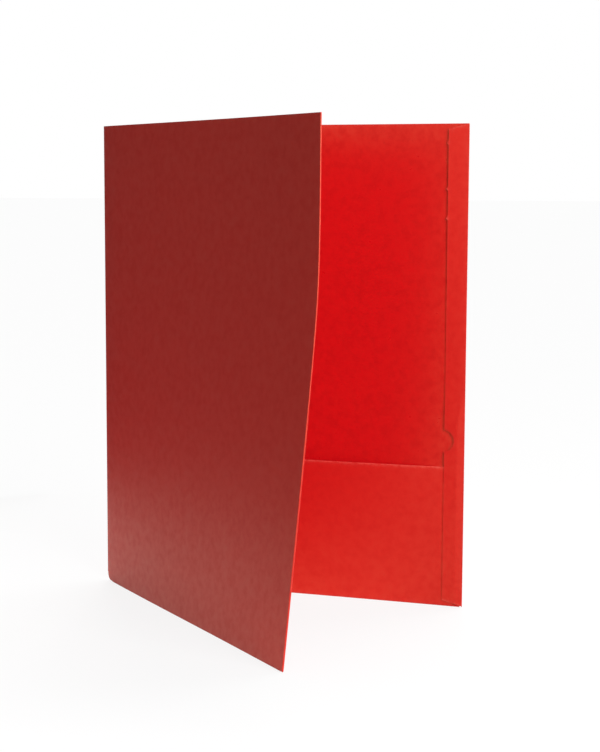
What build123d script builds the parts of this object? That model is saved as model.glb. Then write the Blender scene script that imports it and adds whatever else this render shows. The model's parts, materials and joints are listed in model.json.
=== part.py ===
from build123d import *
import os
from math import atan2, degrees, hypot, sqrt

# Two pocket folder of creased card, standing ajar on its lower folds, in millimetres.
# +Z is up, the back cover stands along X with its inside towards -Y, and the origin is the
# middle of the footprint. One half is drawn flat, with the axis of the spine on Z and the
# outside of the cover towards +Y. The front half is its mirror image, turned about the spine,
# with its lower corner sprung out along a line from the foot of the spine to the far head.

# Card and covers
CARD = 0.4               # thickness of the card
COVER_WIDTH = 238.1      # axis of the spine to the fore-edge
COVER_HEIGHT = 298.45    # foot to head
OPEN_ANGLE = 37.6        # between the covers at the head as the folder stands, in degrees
CORNER_SPRING = 6.2      # how far the front cover's lower corner bends out, in degrees
SPINE_CORNER = 5.0       # radius of the corner cut at the foot of the spine

# Pockets
POCKET_HEIGHT = 88.0     # foot to mouth
POCKET_SLACK = 0.25      # room behind a pocket that lies flat
POCKET_INSET = 2.0       # free end of the pocket from the cut corner, at the foot
POCKET_SLANT = 10.0      # lean of the free end away from the spine, at the mouth
LIP_CORNER = 8.0         # radius of the pocket's free corner
LIP_FOOT = 3.0           # start of the bending line above the foot fold
LIP_SETBACK = 1.0        # end of the bending line from the side flap

# Side flaps
FLAP_WIDTH = 12.7        # fore-edge to the flap's free edge
FLAP_TAPER = 3.3         # slope of the flap's two ends
FLAP_LIFT = 4.5          # how far the flap stands off the cover, in degrees
NOTCH_RADIUS = 7.0       # half-moon notch in the free edge
NOTCH_OFFSET = 1.0       # centre of the notch from the free edge, off the card
NOTCH_RISE = 16.4        # centre of the notch above the pocket's mouth

# Glue
GLUE_THICKNESS = 0.1     # dried glue between the tab and the pocket
GLUE_MARGIN = 2.0        # bare card round the glue

# Clearances
TURN_GAP = 0.05          # between a panel and the fold or panel that it turns on
SLIT_GAP = 0.3           # between the side flap and its glued tab

# Radii of the folds, from the layers that each one holds together
SPINE_RADIUS = 2 * CARD + POCKET_SLACK
FOOT_RADIUS = SPINE_RADIUS / 2
EDGE_RADIUS = (SPINE_RADIUS + GLUE_THICKNESS + CARD) / 2

# Axis of the fore-edge fold
EDGE_X = COVER_WIDTH - EDGE_RADIUS
EDGE_Y = SPINE_RADIUS - EDGE_RADIUS


def seat(radius):
    """Distance from a fold's axis to the edge of a panel that lies against the fold."""
    return sqrt((radius + TURN_GAP) ** 2 - (radius - CARD) ** 2)


# Edges of the panels along X
PANEL_START = seat(SPINE_RADIUS)
PANEL_END = EDGE_X - seat(EDGE_RADIUS)
FLAP_EDGE = COVER_WIDTH - FLAP_WIDTH
POCKET_START = PANEL_START + SPINE_CORNER + POCKET_INSET
POCKET_END = EDGE_X - EDGE_RADIUS - TURN_GAP

# The pocket's bending line, from its free end near the foot to its mouth by the side flap
BEND_START = Vector(POCKET_START, CARD / 2, FOOT_RADIUS + LIP_FOOT)
BEND_END = Vector(FLAP_EDGE - LIP_SETBACK, CARD / 2, POCKET_HEIGHT)


# The front cover's spring line, along the middle of its card
SPRING_FOOT = Vector(0, SPINE_RADIUS - CARD / 2, 0)
SPRING_LINE = Axis(SPRING_FOOT, Vector(EDGE_X, 0, COVER_HEIGHT))


def slab(outline, outer_y, thickness):
    """Sheet with an outline drawn in X and Z, from its outer face at outer_y inwards."""
    return extrude(Plane.XZ.offset(-outer_y) * outline, amount=thickness)


def rod(radius, x, y, z_low, z_high):
    """Round upright fold."""
    return Pos(x, y, z_low) * Cylinder(radius, z_high - z_low, align=(Align.CENTER, Align.CENTER, Align.MIN))


def outline_of(*points):
    """Straight-sided outline through the points given."""
    return make_face(Polyline(*points, close=True))


def spine_fold():
    """Crease between the covers."""
    return rod(SPINE_RADIUS, 0, 0, FOOT_RADIUS + SPINE_CORNER, COVER_HEIGHT)


def cover():
    """Large panel, with its corner cut round at the foot of the spine."""
    outline = outline_of(
        (PANEL_START, FOOT_RADIUS),
        (PANEL_END, FOOT_RADIUS),
        (PANEL_END, COVER_HEIGHT),
        (PANEL_START, COVER_HEIGHT),
    )
    spine_foot = outline.vertices().sort_by_distance((PANEL_START, FOOT_RADIUS))[0]
    return slab(fillet(spine_foot, SPINE_CORNER), SPINE_RADIUS, CARD)


def pocket_fold():
    """Crease along the foot, pressed flat, where the card turns up into the pocket."""
    length = POCKET_END - POCKET_START
    whole = Cylinder(FOOT_RADIUS, length, rotation=(0, 90, 0), align=(Align.CENTER, Align.CENTER, Align.MIN))
    lower_half = Box(length, SPINE_RADIUS, FOOT_RADIUS, align=(Align.MIN, Align.CENTER, Align.MAX))
    return Pos(POCKET_START, FOOT_RADIUS, FOOT_RADIUS) * (whole & lower_half)


def pocket_outline():
    """Whole pocket, with a leaning free end and a round free corner."""
    free_corner = (POCKET_START + POCKET_SLANT, POCKET_HEIGHT)
    outline = outline_of(
        (POCKET_START, FOOT_RADIUS),
        (POCKET_END, FOOT_RADIUS),
        (POCKET_END, POCKET_HEIGHT),
        free_corner,
    )
    return fillet(outline.vertices().sort_by_distance(free_corner)[0], LIP_CORNER)


def bend_plane():
    """Plane across the bending line: X is up the lip from it, and Z is along it."""
    along = (BEND_END - BEND_START).normalized()
    up_the_lip = Vector(-along.Z, 0, along.X)
    return Plane(origin=BEND_START - along * COVER_WIDTH, x_dir=up_the_lip, z_dir=along)


def lip_side(nose):
    """Everything on the lip's side of the bending line, from the nose's section upwards."""
    reach = Rectangle(COVER_HEIGHT, CARD, align=(Align.MIN, Align.CENTER))
    return extrude(bend_plane() * (reach + nose), amount=3 * COVER_WIDTH)


def pocket():
    """Part of the pocket below its bending line, held by the foot fold and the glue."""
    clear = CARD / 2 + TURN_GAP
    square_nose = Rectangle(clear, CARD, align=(Align.MAX, Align.CENTER))
    return slab(pocket_outline(), CARD, CARD) - lip_side(square_nose)


def pocket_lip():
    """Part of the pocket above its bending line, with a round edge on that line."""
    return slab(pocket_outline(), CARD, CARD) & lip_side(Circle(CARD / 2))


def edge_fold():
    """Crease along the fore-edge, where the card turns in to the side flap."""
    return rod(EDGE_RADIUS, EDGE_X, EDGE_Y, 0, COVER_HEIGHT)


def side_flap():
    """Free part of the turned-in strip, flat against the cover, with its notch."""
    outline = outline_of(
        (FLAP_EDGE, POCKET_HEIGHT + SLIT_GAP),
        (PANEL_END, POCKET_HEIGHT + SLIT_GAP),
        (PANEL_END, COVER_HEIGHT),
        (FLAP_EDGE, COVER_HEIGHT - FLAP_TAPER),
    )
    notch = Pos(FLAP_EDGE - NOTCH_OFFSET, POCKET_HEIGHT + NOTCH_RISE) * Circle(NOTCH_RADIUS)
    return slab(outline - notch, -GLUE_THICKNESS, CARD)


def glue_tab():
    """Lower end of the turned-in strip, over the outer end of the pocket."""
    outline = outline_of(
        (FLAP_EDGE, FOOT_RADIUS + FLAP_TAPER),
        (PANEL_END, FOOT_RADIUS),
        (PANEL_END, POCKET_HEIGHT),
        (FLAP_EDGE, POCKET_HEIGHT),
    )
    return slab(outline, -GLUE_THICKNESS, CARD)


def glue_line():
    """Dried glue between the pocket and the tab."""
    low = FOOT_RADIUS + FLAP_TAPER + GLUE_MARGIN
    high = POCKET_HEIGHT - GLUE_MARGIN
    outline = outline_of(
        (FLAP_EDGE + GLUE_MARGIN, low),
        (POCKET_END - GLUE_MARGIN, low),
        (POCKET_END - GLUE_MARGIN, high),
        (FLAP_EDGE + GLUE_MARGIN, high),
    )
    return slab(outline, 0, GLUE_THICKNESS)


def lifted(flap):
    """Side flap turned about the fore-edge fold to where it rests."""
    axis = Pos(EDGE_X, EDGE_Y, 0)
    return axis * Rot(0, 0, FLAP_LIFT) * axis.inverse() * flap


def spring_plane():
    """Plane across the spring line, halfway through the bend, with Z towards the spine's head."""
    along = SPRING_LINE.direction
    flat = Plane(origin=SPRING_FOOT, x_dir=along, z_dir=Vector(-along.Z, 0, along.X))
    return flat.rotated((CORNER_SPRING / 2, 0, 0))


def turned_out(piece):
    """Piece carried along as the corner turns out about the spring line."""
    return piece.rotate(SPRING_LINE, CORNER_SPRING)


def parted(piece):
    """The parts of a piece above and below the spring line, the lower one turned out."""
    above = split(piece, bisect_by=spring_plane(), keep=Keep.TOP)
    below = split(turned_out(piece), bisect_by=spring_plane(), keep=Keep.BOTTOM)
    return above, below


def sprung(flat_half):
    """Half whose lower corner springs out, which bends the cover and the pocket's lip."""
    pieces = {name: turned_out(piece) for name, piece in flat_half.items()}
    pieces["cover"], pieces["cover_corner"] = parted(flat_half["cover"])
    pieces["lip_corner"], pieces["pocket_lip"] = parted(flat_half["pocket_lip"])
    return pieces


def half():
    """One cover with everything on it, shut flat against the spine's middle plane."""
    return {
        "cover": cover(),
        "pocket_fold": pocket_fold(),
        "pocket": pocket(),
        "pocket_lip": pocket_lip(),
        "edge_fold": edge_fold(),
        "side_flap": lifted(side_flap()),
        "glue_tab": glue_tab(),
        "glue_line": glue_line(),
    }


def folder():
    """Every piece by name, with the origin at the middle of the footprint."""
    pieces = {"spine_fold": spine_fold()}
    flat_half = half()
    for name, piece in flat_half.items():
        pieces["back_" + name] = piece
    for name, piece in sprung(flat_half).items():
        pieces["front_" + name] = Rot(0, 0, -OPEN_ANGLE) * mirror(piece, about=Plane.XZ)
    box = Compound(list(pieces.values())).bounding_box()
    to_origin = Pos(-box.center().X, -box.center().Y, -box.min.Z)
    return {name: to_origin * piece for name, piece in pieces.items()}, to_origin


pieces, to_origin = folder()
os.makedirs("parts", exist_ok=True)
for name, piece in pieces.items():
    export_step(piece, f"parts/{name}.step")
bend = BEND_END - BEND_START
print("spine axis at", to_origin.position)
print("bending line", hypot(bend.X, bend.Z), "mm long, rising", degrees(atan2(bend.Z, bend.X)), "degrees")
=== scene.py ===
"""Looks of a two pocket folder of red card, standing ajar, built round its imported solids.

The folder is one creased sheet. Each half is drawn in its own coordinates, in millimetres:
u runs from the axis of the spine out to the fore-edge, v out of the outside of the cover, and
z up from the floor. A stance then twists and bows the half, and the result is put in the frame.
"""

import json
import logging
import math
from dataclasses import dataclass, field
from enum import Enum

import bpy
import numpy as np
from mathutils import Matrix, Vector

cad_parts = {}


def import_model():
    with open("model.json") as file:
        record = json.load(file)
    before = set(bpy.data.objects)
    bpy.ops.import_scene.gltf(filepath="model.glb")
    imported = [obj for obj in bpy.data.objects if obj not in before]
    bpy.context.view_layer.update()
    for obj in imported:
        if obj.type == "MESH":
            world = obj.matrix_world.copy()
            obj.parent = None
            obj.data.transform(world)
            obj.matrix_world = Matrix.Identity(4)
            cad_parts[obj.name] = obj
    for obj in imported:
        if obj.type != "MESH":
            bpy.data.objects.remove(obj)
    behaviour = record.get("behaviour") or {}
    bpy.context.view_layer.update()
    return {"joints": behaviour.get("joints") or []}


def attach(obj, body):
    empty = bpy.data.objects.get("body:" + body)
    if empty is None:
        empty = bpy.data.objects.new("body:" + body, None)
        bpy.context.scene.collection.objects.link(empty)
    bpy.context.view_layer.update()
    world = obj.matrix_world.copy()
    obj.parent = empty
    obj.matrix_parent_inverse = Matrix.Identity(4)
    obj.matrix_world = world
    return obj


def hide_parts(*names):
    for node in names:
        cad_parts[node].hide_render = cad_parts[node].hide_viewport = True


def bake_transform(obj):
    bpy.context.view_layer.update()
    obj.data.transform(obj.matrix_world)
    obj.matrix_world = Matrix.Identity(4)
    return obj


LOG = logging.getLogger("folder")
MM = 0.001
PHOTO_LONG_SIDE = 752
SHARP_ANGLE = math.radians(40)
FOLD_WEAR = 0.22   # how rubbed a crease is, against 1 for a bare cut edge
CARD_IOR = 1.47    # cellulose fibres


def linear(colour: str) -> tuple[float, float, float, float]:
    """Turns an sRGB hex colour into linear light.

    Args:
        colour: six hex digits after a hash sign.

    Returns:
        Linear red, green and blue, and an alpha of 1.
    """
    srgb = np.array([int(colour[i : i + 2], 16) for i in (1, 3, 5)]) / 255
    light = np.where(srgb <= 0.04045, srgb / 12.92, ((srgb + 0.055) / 1.055) ** 2.4)
    return (*light.tolist(), 1.0)


def add_node(
    tree: bpy.types.NodeTree,
    kind: str,
    settings: dict | None = None,
    values: dict | None = None,
    links: dict | None = None,
) -> bpy.types.Node:
    """Adds one node to a tree.

    Args:
        tree: the tree of a material or of the world.
        kind: Blender's name for the type of node.
        settings: the node's own properties, by name.
        values: constants, by input socket.
        links: output sockets, by the input socket that each one feeds.

    Returns:
        The node.
    """
    node = tree.nodes.new(kind)
    for name, value in (settings or {}).items():
        setattr(node, name, value)
    for socket, value in (values or {}).items():
        node.inputs[socket].default_value = value
    for socket, source in (links or {}).items():
        tree.links.new(source, node.inputs[socket])
    return node


def empty_material(name: str) -> bpy.types.Material:
    """Makes a material whose node tree is empty."""
    material = bpy.data.materials.new(name)
    material.use_nodes = True
    material.node_tree.nodes.clear()
    return material


def seen_directly(tree: bpy.types.NodeTree) -> bpy.types.NodeSocket:
    """Adds nodes that give 1 for camera, glossy and transmission rays, and 0 for the rest."""
    path = add_node(tree, "ShaderNodeLightPath").outputs
    clamped = {"operation": "ADD", "use_clamp": True}
    links = {0: path["Is Camera Ray"], 1: path["Is Glossy Ray"]}
    pair = add_node(tree, "ShaderNodeMath", clamped, links=links).outputs[0]
    links = {0: pair, 1: path["Is Transmission Ray"]}
    return add_node(tree, "ShaderNodeMath", clamped, links=links).outputs[0]


@dataclass(frozen=True)
class CardFinish:
    """Solid-dyed card: pulp dyed right through, laid in a sheet and pressed between rollers.

    The fibres bunch as the sheet forms, which gives the eye a faint cloudiness, and the pressed
    surface has a low satin gloss over a fine felt grain. Creases and corners rub paler, and the
    same pale colour is painted beside some cut edges as a highlight where they catch the light.
    """

    name: str
    colour: str          # the dyed pulp
    deep: str            # where the fibres bunch
    pale: str            # rubbed fibres along creases, and painted highlights beside cut edges that catch the light
    roughness: float
    specular: float
    cloud_share: float   # how far the bunched colour comes through
    cloud_mm: float = 5.0
    fleck_mm: float = 1.6    # specks of 0.3 mm, drawn coarser so that they show
    grain_mm: float = 1.0    # felt grain of 0.2 mm, drawn coarser so that it shows
    grain_depth_mm: float = 0.02
    cloud_span: tuple[float, float] = (0.4, 0.72)    # levels of noise over which clouds come up
    fleck_span: tuple[float, float] = (0.58, 0.8)
    wear_span: tuple[float, float] = (0.2, 0.75)
    gloss_span: tuple[float, float] = (0.3, 0.7)
    roughness_swing: float = 0.08
    gloss: str = "#ffffb8"   # the size in the pulp warms what the surface reflects

    def make(self) -> bpy.types.Material:
        """Builds the material.

        Returns:
            Cloud and fleck noise over the dye, paler where the vertex attribute of wear and painted highlight
            is high: rubbed creases, and painted highlights beside lit cut edges.
        """
        material = empty_material(self.name)
        tree = material.node_tree
        place = add_node(tree, "ShaderNodeTexCoord").outputs["Object"]

        def noise(size_mm: float, detail: float) -> bpy.types.NodeSocket:
            """Adds noise whose blotches are about size_mm across."""
            values = {"Scale": 1 / (size_mm * MM), "Detail": detail, "Roughness": 0.55}
            return add_node(tree, "ShaderNodeTexNoise", values=values, links={"Vector": place}).outputs["Fac"]

        def spread(source: bpy.types.NodeSocket, low: float, high: float, top: float) -> bpy.types.NodeSocket:
            """Stretches low to high over 0 to top, with a smooth rise."""
            settings = {"interpolation_type": "SMOOTHSTEP"}
            values = {"From Min": low, "From Max": high, "To Min": 0.0, "To Max": top}
            return add_node(tree, "ShaderNodeMapRange", settings, values, {"Value": source}).outputs["Result"]

        cloud = noise(self.cloud_mm, 3.0)
        fleck = noise(self.fleck_mm, 2.0)
        grain = noise(self.grain_mm, 2.0)
        colour = {"data_type": "RGBA"}
        clouded = add_node(
            tree,
            "ShaderNodeMix",
            colour,
            {6: linear(self.colour), 7: linear(self.deep)},
            {0: spread(cloud, *self.cloud_span, self.cloud_share)},
        ).outputs[2]
        flecked = add_node(
            tree,
            "ShaderNodeMix",
            colour,
            {7: linear(self.deep)},
            {0: spread(fleck, *self.fleck_span, self.cloud_share), 6: clouded},
        ).outputs[2]
        # vertex attribute of rubbed creases and of painted highlights beside lit cut edges
        wear_and_highlight = add_node(tree, "ShaderNodeAttribute", {"attribute_name": "wear_and_highlight"}).outputs["Fac"]
        patchy = add_node(
            tree,
            "ShaderNodeMath",
            {"operation": "MULTIPLY"},
            links={0: wear_and_highlight, 1: spread(fleck, *self.wear_span, 1.0)},
        ).outputs[0]
        rubbed_and_highlit = add_node(
            tree, "ShaderNodeMix", colour, {7: linear(self.pale)}, {0: patchy, 6: flecked}
        ).outputs[2]
        uneven = add_node(
            tree,
            "ShaderNodeMapRange",
            values={
                "To Min": self.roughness - self.roughness_swing,
                "To Max": self.roughness + self.roughness_swing,
            },
            links={"Value": cloud},
        ).outputs["Result"]
        patchy_gloss = add_node(
            tree,
            "ShaderNodeMapRange",
            values={
                "From Min": self.gloss_span[0],
                "From Max": self.gloss_span[1],
                "To Min": self.specular * (1 + self.cloud_share),
                "To Max": self.specular * (1 - self.cloud_share),
            },
            links={"Value": cloud},
        ).outputs["Result"]
        bump = add_node(
            tree,
            "ShaderNodeBump",
            values={"Strength": 0.5, "Distance": self.grain_depth_mm * MM},
            links={"Height": grain},
        ).outputs["Normal"]
        shader = add_node(
            tree,
            "ShaderNodeBsdfPrincipled",
            values={"IOR": CARD_IOR, "Specular Tint": linear(self.gloss)},
            links={
                "Base Color": rubbed_and_highlit,
                "Roughness": uneven,
                "Specular IOR Level": patchy_gloss,
                "Normal": bump,
            },
        )
        add_node(tree, "ShaderNodeOutputMaterial", links={"Surface": shader.outputs[0]})
        return material


@dataclass(frozen=True)
class CutEdgeFinish:
    """Die-cut edge of the same card: loose fibres, rougher and a little paler than the faces."""

    name: str = "die_cut_card_edge"
    colour: str = "#cc0f1a"
    pale: str = "#dc4440"
    fibre_mm: float = 1.2    # fibre ends of 0.1 mm, drawn coarser so that they show
    fibre_depth_mm: float = 0.03
    roughness: float = 0.9
    specular: float = 0.15

    def make(self) -> bpy.types.Material:
        """Builds the material.

        Returns:
            Two reds in a fine noise, with hardly any gloss.
        """
        material = empty_material(self.name)
        tree = material.node_tree
        place = add_node(tree, "ShaderNodeTexCoord").outputs["Object"]
        fibre = add_node(
            tree,
            "ShaderNodeTexNoise",
            values={"Scale": 1 / (self.fibre_mm * MM), "Detail": 3.0},
            links={"Vector": place},
        ).outputs["Fac"]
        colour = add_node(
            tree,
            "ShaderNodeMix",
            {"data_type": "RGBA"},
            {6: linear(self.colour), 7: linear(self.pale)},
            {0: fibre},
        ).outputs[2]
        bump = add_node(
            tree,
            "ShaderNodeBump",
            values={"Strength": 0.6, "Distance": self.fibre_depth_mm * MM},
            links={"Height": fibre},
        ).outputs["Normal"]
        shader = add_node(
            tree,
            "ShaderNodeBsdfPrincipled",
            values={"Roughness": self.roughness, "IOR": CARD_IOR, "Specular IOR Level": self.specular},
            links={"Base Color": colour, "Normal": bump},
        )
        add_node(tree, "ShaderNodeOutputMaterial", links={"Surface": shader.outputs[0]})
        return material


@dataclass(frozen=True)
class GlueFinish:
    """Hot-melt glue pressed thin and set: straw-coloured, uneven and faintly glossy."""

    name: str = "hot_melt_glue_pressed"
    colour: str = "#ddd0b0"
    stain: str = "#c9a07c"
    bead_mm: float = 3.0
    bead_depth_mm: float = 0.05
    roughness: float = 0.4
    ior: float = 1.48

    def make(self) -> bpy.types.Material:
        """Builds the material.

        Returns:
            Straw colour with warmer stains where the layer is thin.
        """
        material = empty_material(self.name)
        tree = material.node_tree
        place = add_node(tree, "ShaderNodeTexCoord").outputs["Object"]
        bead = add_node(
            tree,
            "ShaderNodeTexNoise",
            values={"Scale": 1 / (self.bead_mm * MM), "Detail": 2.0},
            links={"Vector": place},
        ).outputs["Fac"]
        colour = add_node(
            tree,
            "ShaderNodeMix",
            {"data_type": "RGBA"},
            {6: linear(self.colour), 7: linear(self.stain)},
            {0: bead},
        ).outputs[2]
        bump = add_node(
            tree,
            "ShaderNodeBump",
            values={"Strength": 0.4, "Distance": self.bead_depth_mm * MM},
            links={"Height": bead},
        ).outputs["Normal"]
        shader = add_node(
            tree,
            "ShaderNodeBsdfPrincipled",
            values={"Roughness": self.roughness, "IOR": self.ior},
            links={"Base Color": colour, "Normal": bump},
        )
        add_node(tree, "ShaderNodeOutputMaterial", links={"Surface": shader.outputs[0]})
        return material


@dataclass(frozen=True)
class FloorFinish:
    """White paper: white to the eye all over, while it still takes the shadow.

    For the light that it throws back on the folder, its colour is a painted falloff, white near the folder
    and dark further out, standing in for a pool of lamp light.
    """

    name: str = "white_paper_sweep"
    colour: str = "#ececec"
    painted_falloff_colour: str = "#303030"
    centre: tuple[float, float, float] = (-0.1, -0.01, 0.0)   # metres
    near: float = 0.17         # metres from the centre, where the painted falloff starts
    far: float = 0.27
    white_share: float = 0.85

    def make(self) -> bpy.types.Material:
        """Builds the material.

        Returns:
            Matt paper mixed with plain white where it is seen directly, and, for the light that it
            throws back, paper with a painted falloff that darkens with the distance from the folder.
        """
        material = empty_material(self.name)
        tree = material.node_tree
        place = add_node(tree, "ShaderNodeTexCoord").outputs["Object"]
        away = {"operation": "DISTANCE"}
        reach = add_node(tree, "ShaderNodeVectorMath", away, {1: self.centre}, {0: place}).outputs["Value"]
        painted_falloff = add_node(
            tree,
            "ShaderNodeMapRange",
            {"interpolation_type": "SMOOTHSTEP"},
            {"From Min": self.near, "From Max": self.far},
            {"Value": reach},
        ).outputs["Result"]
        # painted falloff: the bounce colour darkens away from the folder, in place of lamp light that fades
        shade = add_node(
            tree,
            "ShaderNodeMix",
            {"data_type": "RGBA"},
            {6: linear(self.colour), 7: linear(self.painted_falloff_colour)},
            {0: painted_falloff},
        ).outputs[2]
        bounce = add_node(tree, "ShaderNodeBsdfDiffuse", links={"Color": shade}).outputs[0]
        paper = add_node(tree, "ShaderNodeBsdfDiffuse", values={"Color": linear(self.colour)}).outputs[0]
        white = add_node(tree, "ShaderNodeEmission", values={"Strength": 1.0}).outputs[0]
        share = {0: self.white_share}
        seen = add_node(tree, "ShaderNodeMixShader", values=share, links={1: paper, 2: white}).outputs[0]
        links = {0: seen_directly(tree), 1: bounce, 2: seen}
        mixed = add_node(tree, "ShaderNodeMixShader", links=links).outputs[0]
        add_node(tree, "ShaderNodeOutputMaterial", links={"Surface": mixed})
        return material


@dataclass(frozen=True)
class FlagFinish:
    """Grey studio board: painted matt, so that it gives back only a low even light."""

    name: str = "grey_board_matt_paint"
    colour: str = "#8c8c8c"

    def make(self) -> bpy.types.Material:
        """Builds the material: one matt grey."""
        material = empty_material(self.name)
        tree = material.node_tree
        paint = add_node(tree, "ShaderNodeBsdfDiffuse", values={"Color": linear(self.colour)}).outputs[0]
        add_node(tree, "ShaderNodeOutputMaterial", links={"Surface": paint})
        return material


@dataclass(frozen=True)
class Palette:
    """Every material of the folder, made once."""

    outside: bpy.types.Material
    inside: bpy.types.Material
    cut: bpy.types.Material
    glue: bpy.types.Material

    @classmethod
    def make(cls) -> "Palette":
        """Makes the two faces of the card, its cut edge and the glue."""
        outside = CardFinish(
            "solid_dyed_card_outside",
            colour="#d00815",
            deep="#b00510",
            pale="#dc4a44",
            roughness=0.43,
            specular=0.65,
            cloud_share=0.15,
        )
        inside = CardFinish(
            "solid_dyed_card_inside",
            colour="#d00815",
            deep="#a8040e",
            pale="#dc4a44",
            roughness=0.31,
            specular=0.75,
            cloud_share=0.24,
        )
        return cls(outside.make(), inside.make(), CutEdgeFinish().make(), GlueFinish().make())


@dataclass(frozen=True)
class Sizes:
    """Flat sizes of the folder in millimetres, the same as in its solids."""

    card: float = 0.4
    cover_width: float = 238.1
    cover_height: float = 298.45
    spine_corner: float = 5.0
    pocket_height: float = 88.0
    pocket_slack: float = 0.25
    pocket_start: float = 7.887
    pocket_slant: float = 10.0
    lip_corner: float = 8.0
    lip_foot: float = 3.0
    lip_setback: float = 1.0
    flap_width: float = 12.7
    flap_taper: float = 3.3
    notch_radius: float = 7.0
    notch_offset: float = 1.0
    notch_rise: float = 16.4
    glue: float = 0.1
    glue_margin: float = 2.0
    turn_gap: float = 0.05

    @property
    def spine_radius(self) -> float:
        """Radius of the spine: two layers of card and the slack between them."""
        return 2 * self.card + self.pocket_slack

    @property
    def foot_radius(self) -> float:
        """Radius of the fold along the foot."""
        return self.spine_radius / 2

    @property
    def edge_radius(self) -> float:
        """Radius of the fold along the fore-edge, which also takes in the glue and the flap."""
        return (self.spine_radius + self.glue + self.card) / 2

    @property
    def edge_u(self) -> float:
        """Axis of the fore-edge fold, out from the spine."""
        return self.cover_width - self.edge_radius

    @property
    def edge_v(self) -> float:
        """Axis of the fore-edge fold, towards the outside of the cover."""
        return self.spine_radius - self.edge_radius

    @property
    def pocket_end(self) -> float:
        """Outer end of the pocket, against the fore-edge fold."""
        return self.edge_u - self.edge_radius - self.turn_gap

    @property
    def flap_edge(self) -> float:
        """Free edge of the side flap."""
        return self.cover_width - self.flap_width


class Side(Enum):
    """The two halves, by the names of their bodies."""

    BACK = "back"
    FRONT = "front"


@dataclass(frozen=True)
class Stance:
    """How a cover stands off its flat plane, in degrees and millimetres."""

    head_turn: float = 0.0     # turn about the spine above the knee, opening positive
    foot_turn: float = 0.0     # turn about the spine at the foot
    knee: float = 205.0        # height at which the twist fades out
    knee_round: float = 30.0
    head_bow: float = 0.0      # outward bow halfway along the head
    foot_bow: float = 0.0      # outward bow halfway along the foot
    crease_lift: float = 0.6   # spring of the card beside the spine
    crease_reach: float = 8.0
    ripple: float = 0.25
    ripple_across: tuple[float, float] = (5.1, 0.7)   # rate and phase, in radians
    ripple_up: tuple[float, float] = (7.3, 1.1)

    def turn(self, z: np.ndarray) -> np.ndarray:
        """Turn about the spine, in radians, at a height.

        The turn is the head's, plus a share of the difference to the foot's that rises in
        proportion to the depth below the knee. A hyperbola rounds the knee.
        """
        depth = self.knee - z
        share = (depth + np.hypot(depth, self.knee_round)) / (2 * self.knee)
        return np.radians(self.head_turn + (self.foot_turn - self.head_turn) * share)

    def offset(self, u: np.ndarray, z: np.ndarray, sizes: Sizes) -> np.ndarray:
        """Stand-off of the card along v.

        A half sine across the cover, whose height runs evenly from the foot's bow to the
        head's, plus an exponential rise out of the spine's crease that the rest of the cover
        takes back, plus a product of two slow sines for the card's own waviness.
        """
        across = np.clip(u / sizes.cover_width, 0, 1)
        up = z / sizes.cover_height
        arch = np.sin(np.pi * across)
        bow = (self.foot_bow + (self.head_bow - self.foot_bow) * up) * arch
        spring = self.crease_lift * (1 - np.exp(-u / self.crease_reach) - across)
        wave_across = np.sin(self.ripple_across[0] * across + self.ripple_across[1])
        wave_up = np.sin(self.ripple_up[0] * up + self.ripple_up[1])
        return bow + spring + self.ripple * arch * wave_across * wave_up


@dataclass(frozen=True)
class HalfFrame:
    """Place of one half in the shared frame: the spine's axis and two directions along the floor."""

    spine: tuple[float, float]     # metres
    out: tuple[float, float]       # from the spine along the cover
    outward: tuple[float, float]   # out of the outside of the cover
    stance: Stance
    sizes: Sizes

    def place(self, u: np.ndarray, v: np.ndarray, z: np.ndarray) -> np.ndarray:
        """Turns points of the half, in millimetres, into points of the frame, in metres.

        The stance moves a point along v and then turns it about the spine by the turn at its
        height.

        Args:
            u: distance from the axis of the spine.
            v: distance out of the cover's middle plane.
            z: height above the floor.

        Returns:
            An array with x, y and z along its last axis.
        """
        u, v, z = np.broadcast_arrays(u, v, z)
        v = v + self.stance.offset(u, z, self.sizes)
        turn = self.stance.turn(z)
        along = u * np.cos(turn) - v * np.sin(turn)
        aside = u * np.sin(turn) + v * np.cos(turn)
        x = self.spine[0] + MM * (along * self.out[0] + aside * self.outward[0])
        y = self.spine[1] + MM * (along * self.out[1] + aside * self.outward[1])
        return np.stack([x, y, MM * z], axis=-1)


def crowded(start: float, stop: float, count: int, crowd: float = 0.8) -> np.ndarray:
    """Steps from start to stop that lie closer together near both ends.

    Args:
        start: first value.
        stop: last value.
        count: number of values.
        crowd: 0 for even steps, towards 1 for steps that vanish at the ends.

    Returns:
        The values: an even ramp less a share of one period of a sine.
    """
    t = np.linspace(0, 1, count)
    return start + (stop - start) * (t - crowd * np.sin(2 * np.pi * t) / (2 * np.pi))


def signed_volume(points: np.ndarray, faces: list[list[int]]) -> float:
    """Volume inside a closed mesh, negative where its faces point inwards."""
    corners = np.array([[f[0], f[i], f[i + 1]] for f in faces for i in range(1, len(f) - 1)])
    a, b, c = (points[corners[:, i]] for i in range(3))
    return float(np.einsum("ij,ij->i", a, np.cross(b, c)).sum() / 6)


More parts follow.
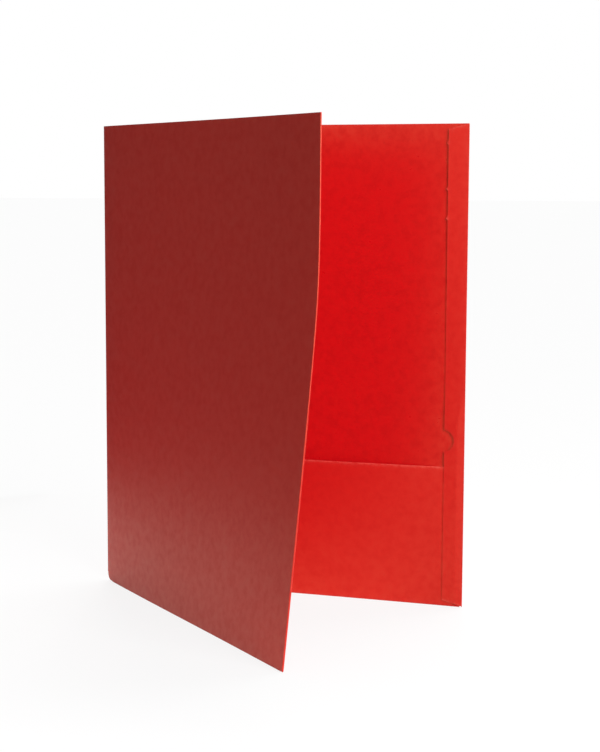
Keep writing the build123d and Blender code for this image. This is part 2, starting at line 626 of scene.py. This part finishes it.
def make_piece(
    name: str,
    points: np.ndarray,
    faces: list[list[int]],
    materials: list[bpy.types.Material],
    slots: np.ndarray,
    wear_and_highlight: np.ndarray,
) -> bpy.types.Object:
    """Puts a closed mesh into the scene, with its faces outwards and its edges creased.

    Args:
        name: the piece's name.
        points: vertices in metres.
        faces: vertex numbers of each face.
        materials: the piece's materials.
        slots: number of each face's material.
        wear_and_highlight: how rubbed each vertex is, up to 2 for bare fibres, and how much painted highlight
            it carries.

    Returns:
        The object, at the origin.
    """
    mesh = bpy.data.meshes.new(name)
    mesh.from_pydata(points.tolist(), [], faces)
    if signed_volume(points, faces) < 0:
        mesh.flip_normals()
    for material in materials:
        mesh.materials.append(material)
    mesh.polygons.foreach_set("material_index", slots.astype(np.int32))
    mesh.polygons.foreach_set("use_smooth", np.ones(len(faces), dtype=bool))
    mesh.set_sharp_from_angle(angle=SHARP_ANGLE)
    mesh.attributes.new("wear_and_highlight", "FLOAT", "POINT").data.foreach_set("value", wear_and_highlight.astype(np.float32))
    mesh.update()
    piece = bpy.data.objects.new(name, mesh)
    bpy.context.scene.collection.objects.link(piece)
    return piece


def sheet(
    name: str, outer: np.ndarray, inner: np.ndarray, wear_and_highlight: np.ndarray, materials: list[bpy.types.Material]
) -> bpy.types.Object:
    """Makes a closed sheet of card from the grids of its two faces.

    Args:
        name: the piece's name.
        outer: points of the card's outside, rows by columns by 3.
        inner: points of the card's inside, on the same grid.
        wear_and_highlight: how rubbed each grid point is, and how much painted highlight it carries.
        materials: those of the outside, the inside and the cut edge.

    Returns:
        The object: both grids as quads, and a rim of quads round their border.
    """
    rows, columns = outer.shape[:2]
    count = rows * columns
    k = np.arange(count).reshape(rows, columns)
    face = np.stack([k[:-1, :-1], k[:-1, 1:], k[1:, 1:], k[1:, :-1]], axis=-1).reshape(-1, 4)
    border = np.concatenate([k[0, :-1], k[:-1, -1], k[-1, :0:-1], k[:0:-1, 0]])
    following = np.roll(border, -1)
    rim = np.stack([following, border, border + count, following + count], axis=-1)
    faces = np.concatenate([face, face[:, ::-1] + count, rim])
    slots = np.repeat([0, 1, 2], [len(face), len(face), len(rim)])
    points = np.concatenate([outer.reshape(-1, 3), inner.reshape(-1, 3)])
    return make_piece(name, points, faces.tolist(), materials, slots, np.tile(wear_and_highlight.ravel(), 2))


def tube(name: str, rings: np.ndarray, material: bpy.types.Material) -> bpy.types.Object:
    """Makes a closed round fold from rings of points along its path.

    Args:
        name: the piece's name.
        rings: points of the rings, rings by points by 3.
        material: that of the card's outside.

    Returns:
        The object: quads between the rings, and a fan of triangles at each end.
    """
    count, around = rings.shape[:2]
    k = np.arange(count * around).reshape(count, around)
    beside = np.roll(k, -1, axis=1)
    wall = np.stack([k[:-1], beside[:-1], beside[1:], k[1:]], axis=-1).reshape(-1, 4)
    first = np.stack([np.full(around, count * around), beside[0], k[0]], axis=-1)
    last = np.stack([np.full(around, count * around + 1), k[-1], beside[-1]], axis=-1)
    faces = wall.tolist() + first.tolist() + last.tolist()
    poles = np.stack([rings[0].mean(axis=0), rings[-1].mean(axis=0)])
    points = np.concatenate([rings.reshape(-1, 3), poles])
    return make_piece(name, points, faces, [material], np.zeros(len(faces)), np.full(len(points), FOLD_WEAR))


@dataclass
class Spine:
    """Crease between the two covers."""

    sizes: Sizes
    frame: HalfFrame
    palette: Palette
    around: int = 28

    def build(self) -> list[bpy.types.Object]:
        """Builds the round of the crease: a circle about the spine's axis, carried up it."""
        s = self.sizes
        z = np.linspace(s.foot_radius + s.spine_corner, s.cover_height, 40)[:, None]
        angle = np.linspace(0, 2 * np.pi, self.around, endpoint=False)[None, :]
        x = self.frame.spine[0] + MM * s.spine_radius * np.cos(angle) + 0 * z
        y = self.frame.spine[1] + MM * s.spine_radius * np.sin(angle) + 0 * z
        rings = np.stack([x, y, MM * z + 0 * angle], axis=-1)
        piece = tube("spine_crease", rings, self.palette.outside)
        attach(piece, Side.BACK.value)
        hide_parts("spine_fold")
        return [piece]


@dataclass
class CoverHalf:
    """One cover with its pocket, its side flap and the folds between them."""

    side: Side
    sizes: Sizes
    frame: HalfFrame
    palette: Palette
    belly: float = 3.5             # stand-off of the pocket's mouth, halfway along
    belly_skew: float = 1.5        # above 1, the belly lies nearer to the flap
    curl: float = -0.15            # how far the pocket's cut edge curls off, negative towards the cover
    curl_reach: float = 0.8        # how far below the mouth the curl dies away
    flap_lift: float = 3.2         # lift of the flap at the head, in degrees
    flap_twist: float = 40.0       # where its twist starts, above the pocket's mouth
    spine_gap: float = 0.15        # from the axis of the spine to the panel, inside the crease
    fold_step: float = 0.7         # how much nearer the flap lies to the cover above the pocket
    step_rise: float = 33.0        # height that it takes to come nearer
    fold_pinch: float = 0.5        # how much nearer the glued tab lies to the cover by the fold
    pinch_reach: float = 5.0       # how far in from the fold the tab rises over the pocket
    fold_reach: float = 0.25       # how far out the fold's round reaches
    fold_blunt: float = 0.9        # rounding of the fold's two ends
    taper_reach: float = 12.0      # height over which the flap's rows fan out at an end
    lip_turn_reach: float = 35.0   # how far up the lip the pocket takes to bend
    nick_heights: tuple[float, ...] = (241.4, 259.2, 286.9)
    nick_depth: float = 1.0
    nick_width: float = 0.8
    fold_wear_reach: float = 2.5   # how far in from a fold the card is rubbed
    flap_fold_wear_reach: float = 2.0
    head_wear_reach: float = 1.2
    lip_wear_and_highlight: float = 1.7          # how pale the pocket's cut edge is drawn: rubbed fibres and a painted highlight where the lip catches the light
    lip_wear_and_highlight_reach: float = 0.8
    flap_wear: float = 0.15        # how rubbed the flap's free edge is
    nick_paleness: float = 1.85        # how much paler still its nicks are drawn
    # how far in the flap's pale edges reach: rubbed free edge, and painted highlight at both ends
    flap_wear_and_highlight_reach: float = 0.9
    glue_wander: float = 0.5       # half of how far the glue's border wanders
    fold_around: int = 24
    layers: dict = field(init=False)

    def __post_init__(self) -> None:
        """Works out where each layer of card lies along v, outside first."""
        s = self.sizes
        self.layers = {
            "cover": (s.spine_radius, s.spine_radius - s.card),
            "pocket": (0.0, s.card),
            "glue": (-s.glue, 0.0),
            "flap": (-s.glue - s.card, -s.glue),
        }

    @property
    def fold_u(self) -> float:
        """Middle of the fore-edge fold's round, out from the spine."""
        return self.sizes.cover_width - self.fold_reach

    def named(self, piece: str) -> str:
        """Name of a piece of this half."""
        return f"{self.side.value}_{piece}"

    def card_faces(self) -> list[bpy.types.Material]:
        """Materials of a sheet's outside, inside and cut edge."""
        return [self.palette.outside, self.palette.inside, self.palette.cut]

    def dress(self, piece: bpy.types.Object, slot: str, *nodes: str) -> bpy.types.Object:
        """Hides the solids that a piece stands for, and gives the piece back.

        A panel that the front half's sprung corner bends stands for two solids.
        """
        corners = {"cover": ["cover_corner"], "pocket_lip": ["lip_corner"]} if self.side is Side.FRONT else {}
        solids = [solid for node in nodes for solid in [node, *corners.get(node, [])]]
        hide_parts(*[self.named(solid) for solid in solids])
        return piece

    def build(self) -> list[bpy.types.Object]:
        """Builds every piece of the half."""
        return [
            self.cover(),
            self.foot_fold(),
            self.edge_fold(),
            self.pocket(),
            self.flap(),
            self.glue_line(),
        ]

    def cover(self) -> bpy.types.Object:
        """Large panel.

        Rows are level lines from the spine to the fore-edge. The lowest rows start on a
        quarter circle, which is the corner cut at the foot of the spine.
        """
        s = self.sizes
        corner = np.linspace(0, np.pi / 2, 9)
        low = s.foot_radius + s.spine_corner * (1 - np.cos(corner))
        high = crowded(low[-1], s.cover_height, 72)[1:]
        start = np.concatenate([s.spine_corner * (1 - np.sin(corner)), np.zeros(len(high))])[:, None]
        start = start + self.spine_gap
        z = np.concatenate([low, high])[:, None]
        u = start + (self.fold_u - start) * crowded(0, 1, 64)[None, :]
        outer, inner = (self.frame.place(u, v, z) for v in self.layers["cover"])
        fold_gap = np.minimum(np.minimum(u, self.fold_u - u), z - s.foot_radius)
        head_gap = s.cover_height - z + 0 * u
        wear_and_highlight = FOLD_WEAR * np.maximum(
            np.exp(-fold_gap / self.fold_wear_reach), np.exp(-head_gap / self.head_wear_reach)
        )
        piece = sheet(self.named("cover_panel"), outer, inner, wear_and_highlight, self.card_faces())
        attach(piece, self.side.value)
        return self.dress(piece, "card", "cover")

    def foot_fold(self) -> bpy.types.Object:
        """Fold along the foot: a circle in the v and z plane, carried along u."""
        s = self.sizes
        u = np.linspace(s.pocket_start, s.pocket_end, 64)[:, None]
        angle = np.linspace(0, 2 * np.pi, self.fold_around, endpoint=False)[None, :]
        v = s.foot_radius * (1 + np.cos(angle))
        z = s.foot_radius * (1 + np.sin(angle))
        piece = tube(self.named("foot_crease"), self.frame.place(u, v, z), self.palette.outside)
        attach(piece, self.side.value)
        return self.dress(piece, "card", "pocket_fold")

    def edge_fold(self) -> bpy.types.Object:
        """Fold along the fore-edge: an ellipse in the u and v plane, carried up z.

        It is as thick as the layers that it wraps, and a quarter ellipse rounds both ends.
        """
        s = self.sizes
        z = crowded(0, s.cover_height, 120, 0.97)[:, None]
        angle = np.linspace(0, 2 * np.pi, self.fold_around, endpoint=False)[None, :]
        short = np.clip(1 - np.minimum(z, s.cover_height - z) / self.fold_blunt, 0, 0.98)
        blunt = np.sqrt(1 - short**2)
        inner = self.layers["flap"][0] + self.tightening(self.fold_u, z)
        outer = self.layers["cover"][0]
        u = self.fold_u + self.fold_reach * blunt * np.cos(angle)
        v = (outer + inner) / 2 + (outer - inner) / 2 * blunt * np.sin(angle)
        piece = tube(self.named("fore_edge_crease"), self.frame.place(u, v, z), self.palette.outside)
        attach(piece, self.side.value)
        return self.dress(piece, "card", "edge_fold")

    def pocket_rows(self) -> tuple[np.ndarray, np.ndarray]:
        """Free end of the pocket from the foot to the mouth.

        A leaning straight line, then an arc that is tangent to it and to the mouth.

        Returns:
            The u and z of each row's start.
        """
        s = self.sizes
        rise = s.pocket_height - s.foot_radius
        length = math.hypot(s.pocket_slant, rise)
        lean = math.atan2(s.pocket_slant, rise)
        corner_angle = math.pi / 2 + lean
        tangent = s.lip_corner / math.tan(corner_angle / 2)
        line = np.linspace(0, 1, 40) * (1 - tangent / length)
        line_u = s.pocket_start + s.pocket_slant * line
        line_z = s.foot_radius + rise * line
        angle = np.linspace(math.pi - lean, math.pi / 2, 14)[1:]
        centre_u = s.pocket_start + s.pocket_slant + tangent
        arc_u = centre_u + s.lip_corner * np.cos(angle)
        arc_z = s.pocket_height - s.lip_corner + s.lip_corner * np.sin(angle)
        return np.concatenate([line_u, arc_u]), np.concatenate([line_z, arc_z])

    def pocket(self) -> bpy.types.Object:
        """Pocket, held along its foot and its outer end, which bends up to its mouth.

        Its stand-off is a half sine between the free end and the side flap, skewed towards
        the flap, times the square of the height: nothing at the foot and most at the mouth. The
        cut edge curls by an exponential that dies away below the mouth.
        """
        s = self.sizes
        start, z = (a[:, None] for a in self.pocket_rows())
        stop = self.fold_u - self.pinch_reach
        u = start + (stop - start) * crowded(0, 1, 72)[None, :]
        across = np.clip((u - s.pocket_start) / (s.flap_edge - s.pocket_start), 0, 1)
        up = (z - s.foot_radius) / (s.pocket_height - s.foot_radius)
        curled = self.curl * np.exp(-(s.pocket_height - z) / self.curl_reach)
        stand_off = np.sin(np.pi * across**self.belly_skew) * self.belly * up**2 + curled
        outer, inner = (self.frame.place(u, v - stand_off, z) for v in self.layers["pocket"])
        # The card beside the lip's cut edge is drawn pale: partly rubbed fibres, partly a painted highlight
        # of the lit top edge.
        free_gap = np.minimum(u - start, s.pocket_height - z)
        wear_and_highlight = np.maximum(
            FOLD_WEAR * np.exp(-(z - s.foot_radius) / self.fold_wear_reach),
            self.lip_wear_and_highlight * np.exp(-free_gap / self.lip_wear_and_highlight_reach),
        )
        piece = sheet(self.named("pocket_panel"), outer, inner, wear_and_highlight, self.card_faces())
        foot = np.array([s.pocket_start, s.foot_radius + s.lip_foot])
        mouth = np.array([s.flap_edge - s.lip_setback, s.pocket_height])
        along = (mouth - foot) / np.linalg.norm(mouth - foot)
        middle = (foot + mouth) / 2
        reach = middle + self.lip_turn_reach * np.array([-along[1], along[0]])
        begin, end = (self.frame.place(p[0], s.card / 2, p[1]) for p in (middle, reach))
        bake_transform(piece)
        return self.dress(piece, "card", "pocket", "pocket_lip")

    def tightening(self, u: np.ndarray, z: np.ndarray) -> np.ndarray:
        """How far the strip lies nearer to the cover than where it is glued over the pocket.

        Up to just above the notch it is pinched by the fold and rises smoothly from there over
        the pocket's end. Further up all of it steps down smoothly to the cover.
        """
        s = self.sizes
        notch_top = s.pocket_height + s.notch_rise + s.notch_radius
        rise = np.clip((z - notch_top) / self.step_rise, 0, 1)
        near = np.clip(1 - (self.fold_u - u) / self.pinch_reach, 0, 1)
        step = self.fold_step * rise * rise * (3 - 2 * rise)
        return np.maximum(step, self.fold_pinch * near * near * (3 - 2 * near))

    def flap_turn(self, z: np.ndarray) -> np.ndarray:
        """Lift of the flap off the cover, in radians: a smooth twist from its foot to the head."""
        foot = self.sizes.pocket_height + self.flap_twist
        rise = np.clip((z - foot) / (self.sizes.cover_height - foot), 0, 1)
        return np.radians(self.flap_lift) * rise * rise * (3 - 2 * rise)

    def flap_rows(self) -> tuple[np.ndarray, np.ndarray]:
        """Free edge of the flap from the foot to the head.

        A straight line with three tiny nicks that stand out of it, where the die held the
        sheet, and a half-moon notch, sampled evenly along its arc.

        Returns:
            The u and z of each row's start.
        """
        s = self.sizes
        centre_z = s.pocket_height + s.notch_rise
        reach = math.acos(s.notch_offset / s.notch_radius)
        angle = np.linspace(-reach, reach, 40)
        notch_u = s.flap_edge - s.notch_offset + s.notch_radius * np.cos(angle)
        notch_z = centre_z + s.notch_radius * np.sin(angle)
        below = crowded(s.foot_radius + s.flap_taper, notch_z[0], 48)[:-1]
        above = crowded(notch_z[-1], s.cover_height - s.flap_taper, 90)[1:]
        near = np.concatenate([h + self.nick_width * np.linspace(-2, 2, 9) for h in self.nick_heights])
        above = np.sort(np.concatenate([above, near]))
        nicks = sum(np.exp(-(((above - h) / self.nick_width) ** 2)) for h in self.nick_heights)
        below_u = np.full(len(below), s.flap_edge)
        above_u = s.flap_edge - self.nick_depth * nicks
        return np.concatenate([below_u, notch_u, above_u]), np.concatenate([below, notch_z, above])

    def flap(self) -> bpy.types.Object:
        """Side flap and its glued tab, one strip turned in along the fore-edge.

        Rows run from the free edge to the fold. Near the two ends they fan out by the taper.
        The layer steps down to the cover above the pocket, and the lift turns each row about
        the axis of the fold.
        """
        s = self.sizes
        start, level = (a[:, None] for a in self.flap_rows())
        across = np.linspace(0, 1, 20)[None, :]
        u = start + (self.fold_u - start) * across
        low = np.clip(1 - (level - level[0]) / self.taper_reach, 0, 1)
        high = np.clip(1 - (level[-1] - level) / self.taper_reach, 0, 1)
        z = level + s.flap_taper * across * (high - low)
        lift = self.flap_turn(z)
        faces = []
        for v in self.layers["flap"]:
            du, dv = u - s.edge_u, v + self.tightening(u, z) - s.edge_v
            turned_u = s.edge_u + du * np.cos(lift) - dv * np.sin(lift)
            turned_v = s.edge_v + du * np.sin(lift) + dv * np.cos(lift)
            faces.append(self.frame.place(turned_u, turned_v, z))
        end_gap = np.minimum(level - level[0], level[-1] - level)
        nick = np.clip((s.flap_edge - start) / self.nick_depth, 0, 1)
        free_edge = (self.flap_wear + self.nick_paleness * nick) * np.exp(-(u - start) / self.flap_wear_and_highlight_reach)
        # Both tapered ends of the strip are drawn pale: a painted highlight where the cut ends catch the
        # light.
        painted_end_highlight = np.exp(-end_gap / self.flap_wear_and_highlight_reach)
        fold = FOLD_WEAR * np.exp(-(self.fold_u - u) / self.flap_fold_wear_reach)
        wear_and_highlight = np.maximum(np.maximum(free_edge, painted_end_highlight), fold)
        piece = sheet(self.named("turned_in_flap"), faces[0], faces[1], wear_and_highlight, self.card_faces())
        begin = self.frame.place(s.edge_u, s.edge_v, s.pocket_height + self.flap_twist)
        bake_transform(piece)
        return self.dress(piece, "card", "side_flap", "glue_tab")

    def glue_line(self) -> bpy.types.Object:
        """Dried glue between the pocket and the tab: a thin strip with a wavy border.

        The border of each level row moves in and out by a slow sine of its height.
        """
        s = self.sizes
        low = s.foot_radius + s.flap_taper + s.glue_margin
        z = np.linspace(low, s.pocket_height - s.glue_margin, 40)[:, None]
        start = s.flap_edge + s.glue_margin + self.glue_wander * (1 + np.sin(0.31 * z))
        stop = s.pocket_end - s.glue_margin - self.glue_wander * (1 + np.sin(0.23 * z + 1))
        u = start + (stop - start) * np.linspace(0, 1, 6)[None, :]
        tight = self.tightening(u, z)
        outer, inner = (self.frame.place(u, v + tight, z) for v in self.layers["glue"])
        piece = sheet(self.named("glue_strip"), outer, inner, 0 * u, [self.palette.glue] * 3)
        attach(piece, self.side.value)
        return self.dress(piece, "glue", "glue_line")


class LampKind(Enum):
    """Blender's names for the two kinds of lamp used."""

    FAR = "SUN"
    PANEL = "AREA"


@dataclass(frozen=True)
class Lamp:
    """A soft studio lamp, aimed at a point."""

    name: str
    kind: LampKind
    azimuth: float      # degrees from -Y towards +X
    elevation: float    # degrees above the floor
    power: float
    spread: float       # degrees across for a far lamp, metres across for a panel
    distance: float = 2.0
    aim: tuple[float, float, float] = (0.0, 0.0, 0.15)

    def build(self) -> bpy.types.Object:
        """Builds the lamp at its distance from the aim, turned to face it."""
        data = bpy.data.lights.new(self.name, self.kind.value)
        data.energy = self.power
        if self.kind is LampKind.FAR:
            data.angle = math.radians(self.spread)
        else:
            data.size = self.spread
        a, e = math.radians(self.azimuth), math.radians(self.elevation)
        towards = Vector((math.sin(a) * math.cos(e), -math.cos(a) * math.cos(e), math.sin(e)))
        lamp = bpy.data.objects.new(self.name, data)
        lamp.visible_camera = False
        lamp.location = Vector(self.aim) + towards * self.distance
        lamp.rotation_euler = (-towards).to_track_quat("-Z", "Y").to_euler()
        bpy.context.scene.collection.objects.link(lamp)
        return lamp


@dataclass
class Studio:
    """Floor, lamps, surroundings and camera."""

    spine: tuple[float, float]
    floor_reach: float = 60.0    # metres
    floor_drop: float = 0.1      # millimetres below the folder's foot
    flag_azimuths: tuple[float, float] = (-140.0, -50.0)   # degrees from -Y towards +X
    flag_radius: float = 0.45
    flag_height: float = 0.9
    surround: float = 0.29
    camera_place: tuple[float, float, float] = (424.42, -959.60, 256.25)   # from the foot of the spine, mm
    camera_yaw: float = 16.946
    camera_pitch: float = 6.541
    camera_roll: float = 0.259
    focal_pixels: float = 1596.0
    sensor: float = 36.0

    def build(self) -> None:
        """Builds everything round the folder."""
        self.floor()
        self.flag()
        self.world()
        self.camera()
        for lamp in self.lamps():
            lamp.build()
        bpy.context.scene.view_settings.view_transform = "Standard"

    def lamps(self) -> list[Lamp]:
        """Low soft panel from the right, and two soft fills from behind."""
        return [
            Lamp(
                "key_right",
                LampKind.PANEL,
                azimuth=52.0,
                elevation=18.0,
                power=11.9,
                spread=0.7,
                distance=0.95,
                aim=(0.03, 0.02, 0.2),
            ),
            Lamp("fill_behind", LampKind.FAR, azimuth=160.0, elevation=40.0, power=2.05, spread=60.0),
            Lamp("fill_left", LampKind.FAR, azimuth=-160.0, elevation=45.0, power=1.25, spread=20.0),
        ]

    def surface(self, name: str, points: np.ndarray, material: bpy.types.Material) -> bpy.types.Object:
        """Puts a grid of points into the scene as a piece of the studio.

        Args:
            name: the object's name.
            points: rows by columns by 3, in metres.
            material: the surface's material.

        Returns:
            The object.
        """
        rows, columns = points.shape[:2]
        k = np.arange(rows * columns).reshape(rows, columns)
        faces = np.stack([k[:-1, :-1], k[:-1, 1:], k[1:, 1:], k[1:, :-1]], axis=-1).reshape(-1, 4)
        mesh = bpy.data.meshes.new(name)
        mesh.from_pydata(points.reshape(-1, 3).tolist(), [], faces.tolist())
        mesh.materials.append(material)
        board = bpy.data.objects.new(name, mesh)
        bpy.context.scene.collection.objects.link(board)
        return board

    def floor(self) -> bpy.types.Object:
        """Level square of paper just under the folder."""
        side = np.linspace(-self.floor_reach, self.floor_reach, 9)
        x, y = np.meshgrid(side, side)
        points = np.stack([x, y, np.full_like(x, -self.floor_drop * MM)], axis=-1)
        return self.surface("paper_sweep", points, FloorFinish().make())

    def flag(self) -> bpy.types.Object:
        """Curved board that keeps light off the left: an arc about the folder, carried upwards.

        The camera doesn't see it and the lamps shine through it, so it only stands in what
        the card reflects and in the light from the surroundings.
        """
        azimuth = np.radians(np.linspace(*self.flag_azimuths, 33))[None, :]
        z = np.linspace(0, self.flag_height, 5)[:, None]
        x = self.flag_radius * np.sin(azimuth) + 0 * z
        y = -self.flag_radius * np.cos(azimuth) + 0 * z
        board = self.surface("grey_board", np.stack([x, y, z + 0 * x], axis=-1), FlagFinish().make())
        board.visible_camera = False
        board.visible_shadow = False
        return board

    def world(self) -> None:
        """White surroundings to the eye, and a low even light on the folder."""
        world = bpy.data.worlds.new("studio")
        world.use_nodes = True
        tree = world.node_tree
        tree.nodes.clear()
        white = linear("#ffffff")
        light, seen = (
            add_node(tree, "ShaderNodeBackground", values={"Color": white, "Strength": strength}).outputs[0]
            for strength in (self.surround, 1.0)
        )
        links = {0: seen_directly(tree), 1: light, 2: seen}
        mixed = add_node(tree, "ShaderNodeMixShader", links=links).outputs[0]
        add_node(tree, "ShaderNodeOutputWorld", links={"Surface": mixed})
        bpy.context.scene.world = world

    def camera(self) -> bpy.types.Object:
        """Camera at the photograph's place.

        Its axes are those of a level camera turned by the yaw, tipped down by the pitch and
        then rolled about its line of sight.
        """
        yaw, pitch, roll = (math.radians(a) for a in (self.camera_yaw, self.camera_pitch, self.camera_roll))
        level_right = Vector((math.cos(yaw), math.sin(yaw), 0))
        level_ahead = Vector((-math.sin(yaw), math.cos(yaw), 0))
        ahead = math.cos(pitch) * level_ahead - math.sin(pitch) * Vector((0, 0, 1))
        tipped_up = math.cos(pitch) * Vector((0, 0, 1)) + math.sin(pitch) * level_ahead
        right = math.cos(roll) * level_right + math.sin(roll) * tipped_up
        up = math.cos(roll) * tipped_up - math.sin(roll) * level_right
        place = Vector((*self.spine, 0)) + MM * Vector(self.camera_place)
        data = bpy.data.cameras.new("camera")
        data.sensor_width = self.sensor
        data.lens = self.focal_pixels * self.sensor / PHOTO_LONG_SIDE
        camera = bpy.data.objects.new("camera", data)
        camera.matrix_world = Matrix(
            [
                (right.x, up.x, -ahead.x, place.x),
                (right.y, up.y, -ahead.y, place.y),
                (right.z, up.z, -ahead.z, place.z),
                (0, 0, 0, 1),
            ]
        )
        bpy.context.scene.collection.objects.link(camera)
        bpy.context.scene.camera = camera
        return camera


STANCES = {
    Side.BACK: Stance(head_bow=3.0, foot_bow=2.0),
    Side.FRONT: Stance(head_turn=-1.25, foot_turn=4.25, head_bow=-2.5),
}


def half_frames(joints: list[dict], sizes: Sizes) -> dict[Side, HalfFrame]:
    """Places both halves from the spine's hinge.

    Args:
        joints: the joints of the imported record.
        sizes: the folder's sizes.

    Returns:
        The back half along +X, and the front half turned from it by the opening angle, which
        is what the hinge's upper limit lacks of half a turn.
    """
    hinge = next(joint for joint in joints if joint["name"] == "spine_hinge")
    spine = (hinge["pos_m"][0], hinge["pos_m"][1])
    opening = math.radians(180 - hinge["range_deg"][1])
    front_out = (math.cos(opening), -math.sin(opening))
    front_outward = (-math.sin(opening), -math.cos(opening))
    return {
        Side.BACK: HalfFrame(spine, (1.0, 0.0), (0.0, 1.0), STANCES[Side.BACK], sizes),
        Side.FRONT: HalfFrame(spine, front_out, front_outward, STANCES[Side.FRONT], sizes),
    }


def main() -> None:
    """Builds the folder and its studio."""
    logging.basicConfig(level=logging.INFO, format="%(name)s: %(message)s")
    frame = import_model()
    sizes = Sizes()
    frames = half_frames(frame["joints"], sizes)
    palette = Palette.make()
    builders = [Spine(sizes, frames[Side.BACK], palette)]
    builders += [CoverHalf(side, sizes, frames[side], palette) for side in Side]
    for builder in builders:
        for piece in builder.build():
            LOG.info("%s: %d faces", piece.name, len(piece.data.polygons))
    Studio(frames[Side.BACK].spine).build()


if __name__ == "__main__":
    main()
